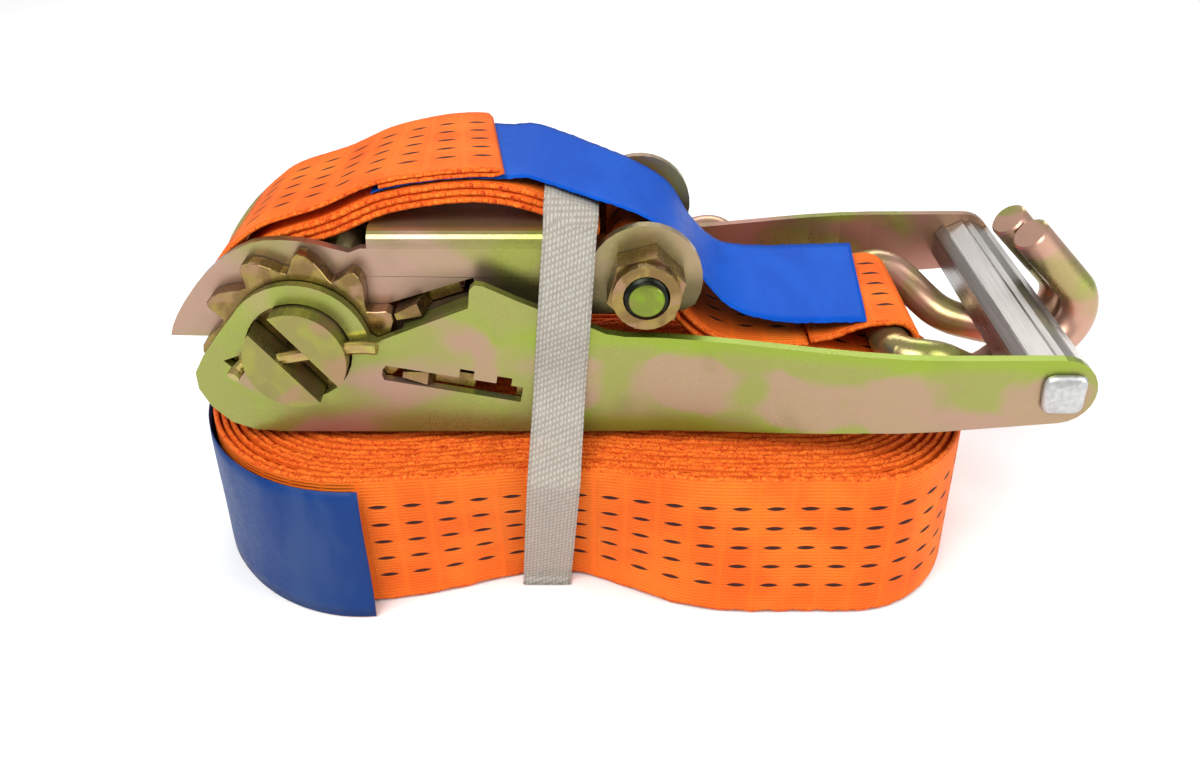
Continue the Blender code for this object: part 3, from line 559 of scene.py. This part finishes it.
def along_hank(s, turn, z):
    """Places on the hank over a grid of heights, and which way the strap runs at each."""
    x, y = hank_place(s[:, None] + 0 * z, turn[:, None] + 0 * z, z)
    middle = np.stack([x, y, z], axis=-1)
    way = np.gradient(middle[:, :, :2], axis=0)
    way /= np.maximum(np.linalg.norm(way, axis=2), 1e-9)[:, :, None]
    return middle, way


def make_hank(material):
    """The strap on edge, from its outer end in to the hank's middle; the first turns are finer."""
    start = 0.60
    turns = [np.linspace(k, k + 1, 260 if k < 5 else 130, endpoint=False) for k in range(HANK_TURNS)]
    t = np.concatenate(turns)
    s = (start + t) % 1.0
    s = np.where(np.abs(s - 0.5) < 1e-4, 0.5001, s)
    across = np.array(EDGE_STEPS)
    x, y = hank_place(s, t, FLOOR + WEB_EDGE)
    u = lengths(np.column_stack([x, y]))
    lift = 0.55 * np.sin(t * 2.4) + 0.35 * np.sin(u / 23.0 + 1.3) + 0.25 * np.sin(u / 9.7)
    z = FLOOR + 0.9 + across[None, :] * (0.965 + 0.004 * lift[:, None]) + selvedge(u, across, 0.7, 0.3)
    middle, way = along_hank(s, t, np.maximum(z, FLOOR + 0.3))
    normal = np.stack([-way[:, :, 1], way[:, :, 0], 0 * z], axis=-1)
    obj, length = cloth("strap_hank", middle, normal, across, WEB_THICK, material, "hank")
    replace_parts(obj, "hank_outer_turns", "hank_inner_turns")


LABEL_THICK = 0.45
HANK_LABEL_WIDTH = 46.6
HANK_LABEL_TOP = 47.2
HANK_LABEL_START = 0.835  # shares of the outer turn
HANK_LABEL_END = 0.159


def make_hank_label(material):
    """The label round the hank's left end, from the rear to its cut end on the front, which stands off."""
    rear = np.linspace(HANK_LABEL_START, 1.0, 40, endpoint=False)
    s = np.concatenate([rear, np.linspace(0.0, HANK_LABEL_END, 46)])
    s = np.where(np.abs(s) < 1e-4, 1e-4, s)
    across = np.linspace(0, HANK_LABEL_WIDTH, 12)
    low = FLOOR + HANK_LABEL_TOP - HANK_LABEL_WIDTH
    z = np.broadcast_to(low + across[None, :], (len(s), len(across)))
    middle, way = along_hank(s, 0 * s, z)
    out = np.stack([way[:, :, 1], -way[:, :, 0], 0 * z], axis=-1)
    free = smooth((s - 0.06) / (HANK_LABEL_END - 0.06))[:, None] * (s < 0.5)[:, None]
    loose = 1.25 + 3.6 * free * (1.25 - across / HANK_LABEL_WIDTH)[None, :]
    middle = middle + out * loose[:, :, None]
    obj, length = cloth("hank_label_sheet", middle, out, across, LABEL_THICK, material, "hank")
    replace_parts(obj, "hank_label")


# Webbing on the ratchet


TAIL_END = 53.0
LAYER_THICK = 1.75
TOP_THICK = 1.25
FIXED_END_THICK = 1.7
LOOP_THICK = 1.8


def arch():
    """The run between the tail's top layer and the three under it: round the drum and on to the bolt."""
    turns = ((178, 27.7), (165, 27.6), (150, 27.4), (135, 27.6), (120, 28.2), (104, 29.8))
    round_drum = [(r * math.cos(math.radians(a)), r * math.sin(math.radians(a))) for a, r in turns]
    over = [(8.0, 33.9), (22.0, 40.0), (36.0, 42.9), (49.0, 43.9), (60.0, 42.6), (71.0, 39.2), (84.0, 34.0)]
    return spline([*round_drum, *over], SPACING)


def make_tail_layers(material):
    """The three layers under the top one, each ending a little before the one above it."""
    parts, total = [], 0.0
    for k, offset in enumerate((-5.3, -3.25, -1.15)):
        path = shifted(arch(), offset)
        path = path[: len(path) - 2 * k]
        obj, length = flat_run(
            f"tail_layer_{k}", path, -WEB_EDGE, WEB_EDGE, LAYER_THICK, material, "frame",
            seed=2.0 + k
        )
        parts.append(obj)
        total += length
    under = joined("tail_layers", parts, "folded_tail_under")


def make_tail_top(material):
    """The top layer, folded back under itself in a hem at its slanting end."""
    upper = shifted(arch(), 3.0)
    upper = upper[upper[:, 0] < TAIL_END]
    lower = shifted(arch(), 1.65)
    hem = lower[(lower[:, 0] < TAIL_END - 0.6) & (lower[:, 0] > TAIL_END - 30.0)]
    turn = np.array([upper[-1] + (0.9, -0.3), (upper[-1] + hem[-1]) / 2 + (1.3, 0.0), hem[-1] + (0.5, 0.1)])
    path = even(np.vstack([upper, turn, hem[::-1]]), SPACING)

    def slide(x, share):
        return 7.0 * (0.5 - share) * smooth((x - 24.0) / 24.0)

    top, length = flat_run(
        "tail_top_layer", path, -WEB_EDGE, WEB_EDGE, TOP_THICK, material, "frame",
        seed=5.0, slide=slide
    )
    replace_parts(top, "folded_tail_top")


def make_tail_label(material):
    """The label from under the tail's top layer to the short strap, where it lies slack."""
    front, rear = -23.9, 23.0
    base = [(x, z + 0.6 + 2.2 * smooth((x - 53.5) / 11.0)) for x, z in arch()[::4] if 20.0 < x < 82.0]
    ends = [(93.0, 33.0), (103.4, 26.4), (111.0, 14.8), (120.0, 6.6)]
    ends += [(133.0, 4.2), (147.0, 4.0), (161.0, 4.0)]
    run = spline([*base, *ends], SPACING)

    def wave(x, share):
        billow = 1.1 * np.sin(x / 17.0 + 3.0 * share) * (share - 0.4)
        lean = 1.4 * (0.5 - share) * (1 - smooth((x - 100) / 30))
        tilt = 4.2 * (share - 0.55) * smooth((x - 105.0) / 40.0)
        return tilt + (billow + lean) * smooth((x - 70.0) / 25.0)

    def slide(x, share):
        return (3.2 * (share - 0.5) - 1.4) * smooth((x - 120.0) / 38.0)

    label, length = flat_run(
        "tail_label_sheet", run, front, rear, LABEL_THICK, material, "frame",
        seed=1.0, steps=tuple(range(0, 43, 3)), slide=slide, wave=wave
    )
    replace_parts(label, "tail_label")


def make_sleeve_loop(material):
    """The fixed end's loop round the bolt's sleeve."""
    turn = arc(BOLT, 9.7, -82, -352, 20)
    run = spline([(104.4, 3.4), (101.0, 6.2), *turn, (104.6, 9.0), (105.6, 5.2)], SPACING)
    sleeve, length = flat_run(
        "sleeve_loop_web", run, -LOOP_EDGE, LOOP_EDGE, FIXED_END_THICK, material, "frame", seed=3.0
    )
    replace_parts(sleeve, "sleeve_loop")


def make_short_strap(material):
    """The fixed end's two layers, between the frame and the handle."""
    middle = spline([(104.2, 4.6), (112.0, -2.6), (122.0, -6.4), (133.0, -7.0), (142.0, -6.8)], SPACING)
    parts, total = [], 0.0
    for k, offset in enumerate((-1.2, 1.2)):
        path = shifted(middle, offset)
        obj, length = flat_run(
            f"short_run_{k}", path, -LOOP_EDGE, LOOP_EDGE, FIXED_END_THICK, material, None,
            seed=7.0 + k
        )
        parts.append(obj)
        total += length
    strap = joined("short_strap_layers", parts, "short_strap_run")
    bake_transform(strap)


def make_short_loop(material):
    """The fixed end's loop round the short hook's eye bar."""
    above = [(142.6, -4.6), (149.0, -3.2), (157.0, 0.2)]
    below = [(157.0, -11.8), (149.0, -9.6), (142.6, -8.6)]
    run = spline([*above, *arc(SHORT_EYE, 7.4, 100, -100, 14), *below], SPACING)
    hook, length = flat_run(
        "short_hook_web", run, -LOOP_EDGE, LOOP_EDGE, LOOP_THICK, material, "handle", seed=4.0
    )
    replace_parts(hook, "short_hook_loop")


def make_long_loop(material):
    """The long strap's loop round the long hook's eye bar, on edge behind the hank."""
    near = [(151.0, 61.9), (143.0, 62.3), (135.0, 63.0)]
    far = [(135.0, 75.0), (142.0, 70.6), (151.0, 66.6)]
    run = spline([*near, *arc(LONG_EYE, 7.7, 250, 110, 12), *far], SPACING)
    low, high = LONG_MIDDLE - LOOP_EDGE, LONG_MIDDLE + LOOP_EDGE
    loop, length = flat_run(
        "long_hook_web", run, low, high, LOOP_THICK, material, "hank", seed=6.0, plane="XY"
    )
    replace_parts(loop, "long_hook_loop")


TIE_WIDTH = 14.4
TIE_MIDDLE = 72.0
TIE_LEAN = 0.073
TIE_SLOPE = 0.42


def make_tie(material):
    """The tie: one closed turn round the hank, the ratchet and the tail, under the upper label."""
    hank_top, hank_low, plate = 58.9, 41.0, 40.6
    half = [(0.0, FLOOR + 0.7), (hank_low - 1.0, FLOOR + 0.7), (hank_low + 1.0, FLOOR + 3.6)]
    half += [(51.4, -52.0), (hank_top + 0.3, -32.0), (hank_top - 1.0, HANK_TOP + 0.6)]
    half += [(plate + 1.2, -12.0), (plate + 0.2, 9.0), (plate - 4.4, 24.0)]
    half += [(28.2, 36.8), (24.4, 38.8), (0.0, 39.1)]
    path = spline([*half, *[(-y, z) for y, z in half[-2:0:-1]], half[0]], 1.6)
    side = left_of(path)
    across = np.linspace(0, TIE_WIDTH, 10)
    x = across[None, :] - TIE_WIDTH / 2 + 0 * path[:, :1]
    z = path[:, 1, None] + 0 * x
    over_tail = z > 34.0
    z = np.where(over_tail, z - TIE_SLOPE * x, z)
    middle = np.stack([TIE_MIDDLE + TIE_LEAN * path[:, 1, None] + x, path[:, 0, None] + 0 * x, z], axis=-1)
    normal = np.zeros(middle.shape)
    normal[:, :, 1] = side[:, 0, None]
    normal[:, :, 2] = side[:, 1, None]
    thick = 0.6
    band, length = cloth("tie_band_woven", middle, normal, across, thick, material, "hank", 0.6)
    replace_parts(band, "tie_band")
    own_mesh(band)


# Hard parts


def edges(obj, width):
    """Broken edges that catch the light, after its flat faces are merged."""
    flat = obj.modifiers.new("flat", "DECIMATE")
    flat.decimate_type = "DISSOLVE"
    flat.angle_limit = math.radians(0.6)
    bevel = obj.modifiers.new("broken_edges", "BEVEL")
    bevel.width = width * MM
    bevel.segments = 2
    bevel.limit_method = "ANGLE"
    bevel.angle_limit = math.radians(35)
    bevel.harden_normals = True


def paint(obj, material):
    """One material over the whole of a CAD node."""
    obj.data.materials.clear()
    obj.data.materials.append(material)
    for polygon in obj.data.polygons:
        polygon.material_index = 0


def circle(size):
    return [(math.cos(2 * math.pi * k / size), math.sin(2 * math.pi * k / size)) for k in range(size)]


def skin(rings):
    """Points and faces of rings of equal size joined in turn, with both ends capped."""
    size, last = len(rings[0]), (len(rings) - 1) * len(rings[0])
    faces = []
    for i in range(len(rings) - 1):
        for k in range(size):
            j = (k + 1) % size
            faces.append((i * size + k, (i + 1) * size + k, (i + 1) * size + j, i * size + j))
    faces += [tuple(range(size)), tuple(range(last, last + size))[::-1]]
    return [point for ring in rings for point in ring], faces


def solid(name, rings, material, body, angle):
    """A closed piece skinned over rings of points, with edges sharper than the angle left crisp."""
    points, faces = skin(rings)
    mesh = bpy.data.meshes.new(name)
    mesh.from_pydata(points, [], faces)
    mesh.materials.append(material)
    work = bmesh.new()
    work.from_mesh(mesh)
    bmesh.ops.recalc_face_normals(work, faces=work.faces)
    work.to_mesh(mesh)
    work.free()
    mesh.shade_smooth()
    mesh.set_sharp_from_angle(angle=math.radians(angle))
    obj = bpy.data.objects.new(name, mesh)
    bpy.context.scene.collection.objects.link(obj)
    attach(obj, body)
    return obj


def on_bolt(y, radii):
    """A ring round the bolt's axis, with its radius at each of its points."""
    ring = zip(radii, circle(len(radii)))
    return [world(BOLT[0] + r * c, y, BOLT[1] + r * s) for r, (c, s) in ring]


def make_bolt(material):
    """The bolt: a hexagonal head at the rear, a plain shank, and a helical thread up to its flat tip."""
    size, rows = 48, 64
    shank_radius, head_corner, head_face = 5.9, 9.4, 7.8
    head_front, head_chamfer, head_rear = 30.0, 37.0, 37.5
    thread_start, tip, pitch, crest, depth = -40.6, -43.4, 1.5, 6.0, 0.75
    off_flat = [math.radians(360 * k / size % 60 - 30) for k in range(size)]
    hexagon = [head_corner * math.cos(math.radians(30)) / math.cos(angle) for angle in off_flat]
    rings = [on_bolt(head_rear, [head_face] * size)]
    rings += [on_bolt(y, hexagon) for y in (head_chamfer, head_front)]
    rings += [on_bolt(y, [shank_radius] * size) for y in (head_front - 0.2, thread_start)]
    for i in range(1, rows + 1):
        y = thread_start + (tip - thread_start) * i / rows
        chamfer = 0.9 * max(0.0, 1 - (y - tip))
        turns = [(y / pitch + k / size) % 1.0 for k in range(size)]
        rings.append(on_bolt(y, [crest - depth * abs(2 * turn - 1) - chamfer for turn in turns]))
    rings.append(on_bolt(tip - 0.2, [4.4] * size))
    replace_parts(solid("bolt_threaded", rings, material, "frame", 28), "frame_bolt")


CLAW_RADIUS = 11.5
CLAW_BEND = 45
CLAW_TIP = 19.09
CLAW_GAP = 5.85
CLAW_FALL = 0.55
EYE_LENGTH = 50.7


def claw_route(drop, side, turn):
    """The double claw's centre line about its eye bar: claw, shank, eye bar, shank and claw.

    The claws stand drop lower than the eye bar, side further along it, and turned about the upright.
    """
    claw = arc((0.0, CLAW_RADIUS - drop), CLAW_RADIUS, -90, CLAW_BEND, 9)
    bend_end = claw[-1]
    claw += [(bend_end[0] - CLAW_TIP * t, bend_end[1] + CLAW_TIP * t) for t in (0.5, 1.0)]
    halves = []
    for way in (1, -1):
        half = []
        for a in (math.radians(30 * k) for k in range(4)):
            half.append((EYE_CORNER * (1 - math.cos(a)), way * (EYE_HALF + EYE_CORNER * math.sin(a)), 0.0))
        x_end = EYE_LENGTH - way * CLAW_GAP * math.sin(turn)
        y_end = side + way * CLAW_GAP * math.cos(turn)
        for t in (k / 9 for k in range(1, 9)):
            x = EYE_CORNER + (x_end - EYE_CORNER) * t
            y = way * SHANK_SPREAD + (y_end - way * SHANK_SPREAD) * float(smooth(t))
            half.append((x, y, -drop * float(smooth(t / CLAW_FALL))))
        half += [(x_end + out * math.cos(turn), y_end + out * math.sin(turn), z) for out, z in claw]
        halves.append(half)
    return halves[0][::-1] + halves[1]


def wire(name, route, material, body):
    """A round wire along a route, its sheared ends slightly broken."""
    broken = 0.6
    run = spline(route, 1.2)
    way = np.gradient(run, axis=0)
    way /= np.linalg.norm(way, axis=1)[:, None]
    run = np.vstack([run[0], run[0] + broken * way[0], run[1:-1], run[-1] - broken * way[-1], run[-1]])
    way = np.vstack([way[0], way[0], way[1:-1], way[-1], way[-1]])
    side = np.cross(way[0], (0.0, 0.0, 1.0))
    rings = []
    for i, (place, along) in enumerate(zip(run, way)):
        side = side - along * np.dot(side, along)
        side /= np.linalg.norm(side)
        up = np.cross(along, side)
        r = WIRE_RADIUS - broken if i in (0, len(run) - 1) else WIRE_RADIUS
        rings.append([world(*(place + r * (c * side + s * up))) for c, s in circle(32)])
    return solid(name, rings, material, body, 40)


def make_hooks(material):
    """The short hook lies hooked round the grip bar, and the long one stands on its side behind the hank."""
    short = claw_route(drop=13.0, side=6.0, turn=math.radians(15))
    short = [(SHORT_EYE[0] + x, y, SHORT_EYE[1] + z) for x, y, z in short]
    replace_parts(wire("double_claw_short", short, material, "short_hook"), "claw_hook_short")
    long = claw_route(drop=0.17, side=0.0, turn=0.0)
    long = [(LONG_EYE[0] - x, LONG_EYE[1] + z, LONG_MIDDLE + y) for x, y, z in long]
    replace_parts(wire("double_claw_long", long, material, "long_hook"), "claw_hook_long")


def make_rivet_heads(material):
    """The grip bar's tenon ends, peened to low square heads with rounded corners."""
    face = PLATE_INSIDE + PLATE_THICK + ARM_FLARE
    profile = [(4.8, 0.15), (5.6, 0.25), (5.8, 0.8), (5.5, 1.7), (4.6, 2.3), (2.3, 2.55)]
    for name, side in (("grip_head_front", -1), ("grip_head_rear", 1)):
        rings = []
        for half, out in profile:
            ring = []
            for k, (c, s) in enumerate(circle(32)):
                scale = half / (abs(c) ** 5 + abs(s) ** 5) ** 0.2
                uneven = 1 + 0.02 * math.sin(6 * math.pi * k / 32 + side)
                x, z = GRIP_BAR[0] + scale * c * uneven, GRIP_BAR[1] + scale * s
                ring.append(world(x, side * (face + out), z))
            rings.append(ring)
        solid(name, rings, material, "handle", 40)


def finish_frame():
    """Materials for the CAD nodes that stay, and broken edges on those that show most."""
    plate = zinc("plate", pinkness=0.52, extra=arm_clouds)
    # the rear plate's zinc carries a painted reflection of the orange webbing
    rear = zinc("rear_plate", pinkness=0.42)
    # the frame's base carries painted shade low down between the drum and the bolt
    base = zinc("frame", cloud=18.0, pinkness=0.44, extra=base_painted_shade)
    drum = zinc("drum", cloud=60.0)
    bronze = zinc("bronze", cloud=90.0, metallic=0.95, roughness=0.24)
    gold = zinc("gold", cloud=120.0, metallic=0.9)
    spring = brushed("spring_wire", (0.42, 0.42, 0.44), 0.28, (1.0, 1.0, 1.0))
    aluminium = brushed("grip_aluminium_drawn", (0.36, 0.34, 0.32), 0.30, (1.0, 0.03, 1.0))
    for material, edge, names in (
        (plate, 0.5, ("handle_plate_front",)),
        (rear, 0.5, ("handle_plate_rear",)),
        (base, 0.5, ("ratchet_frame",)),
        (drum, 0.5, ("drum_half_upper", "drum_half_lower")),
        (bronze, 0.4, ("frame_locknut",)),
        (bronze, 0.3, ("lock_pawl", "drive_pawl")),
        (bronze, 0.0, ("ratchet_wheel_front", "ratchet_wheel_rear", "bolt_sleeve")),
        (bronze, 0.0, ("lock_spring_seat", "drive_spring_seat")),
        (gold, 0.0, ("cotter_pin_front", "cotter_pin_rear")),
        (spring, 0.0, ("lock_spring", "drive_spring")),
        (aluminium, 0.35, ("grip_bar",)),
    ):
        for name in names:
            paint(frame["nodes"][name], material)
            if edge:
                edges(frame["nodes"][name], edge)


# Floor, lights and camera


def make_stage():
    mesh = bpy.data.meshes.new("floor")
    mesh.from_pydata([(-6, -6, 0), (6, -6, 0), (6, 6, 0), (-6, 6, 0)], [], [(0, 1, 2, 3)])
    floor = bpy.data.objects.new("floor", mesh)
    s = Shade("floor_paper", 0.9)
    tone = s.ramp(s.noise(s.place(), 3.0), 0.3, 0.7)
    mesh.materials.append(s.finish(s.mix(tone, (0.93, 0.93, 0.93), (0.95, 0.95, 0.95))))
    bpy.context.scene.collection.objects.link(floor)


def make_light(name, place, size, power):
    """A white rectangular lamp aimed at the middle of the strap."""
    data = bpy.data.lights.new(name, "AREA")
    data.shape = "RECTANGLE"
    data.size, data.size_y = size
    data.energy = power
    lamp = bpy.data.objects.new(name, data)
    lamp.location = place
    lamp.rotation_euler = (Vector((0, 0, 0.05)) - Vector(place)).to_track_quat("-Z", "Y").to_euler()
    bpy.context.scene.collection.objects.link(lamp)


def make_world():
    background = bpy.data.worlds.new("studio")
    background.use_nodes = True
    shade = background.node_tree.nodes["Background"]
    shade.inputs["Color"].default_value = (1, 1, 1, 1)
    shade.inputs["Strength"].default_value = 0.42
    bpy.context.scene.world = background
    bpy.context.scene.view_settings.view_transform = "Standard"


def make_camera():
    data = bpy.data.cameras.new("camera")
    data.lens = CAMERA_LENS
    data.sensor_width = 36.0
    data.clip_start = 0.01
    camera = bpy.data.objects.new("camera", data)
    camera.location = CAMERA_PLACE
    camera.rotation_euler = (math.radians(90.0 - CAMERA_PITCH), 0, 0)
    bpy.context.scene.collection.objects.link(camera)
    bpy.context.scene.camera = camera


make_camera()
make_world()
make_stage()
make_light("key", (-0.35, -0.75, 1.0), (0.9, 0.6), 15.0)
make_light("fill", (0.8, -0.4, 0.5), (0.5, 0.8), 5.0)
make_light("back", (0.1, 0.9, 0.9), (1.2, 0.4), 7.0)

finish_frame()
strap_cloth = webbing("orange_webbing_woven")
make_hank(strap_cloth)
make_tail_layers(strap_cloth)
make_tail_top(strap_cloth)
make_sleeve_loop(strap_cloth)
make_short_strap(strap_cloth)
make_short_loop(strap_cloth)
make_long_loop(strap_cloth)
make_hank_label(label_cloth("label_lower", (0.006, 0.036, 0.165), (0.02, 0.055, 0.18), 0.12))
make_bolt(zinc("bolt", cloud=80.0, extra=thread_painted_shade))
make_hooks(zinc("hook", cloud=34.0, pinkness=0.42))
make_rivet_heads(brushed("grip_head_peened", (0.55, 0.55, 0.54), 0.38, (0.4, 1.0, 0.4)))
make_tail_label(label_cloth("label_upper", (0.0015, 0.062, 0.40), (0.003, 0.078, 0.46), 0.05))
make_tie(tie_cloth("tie_woven"))
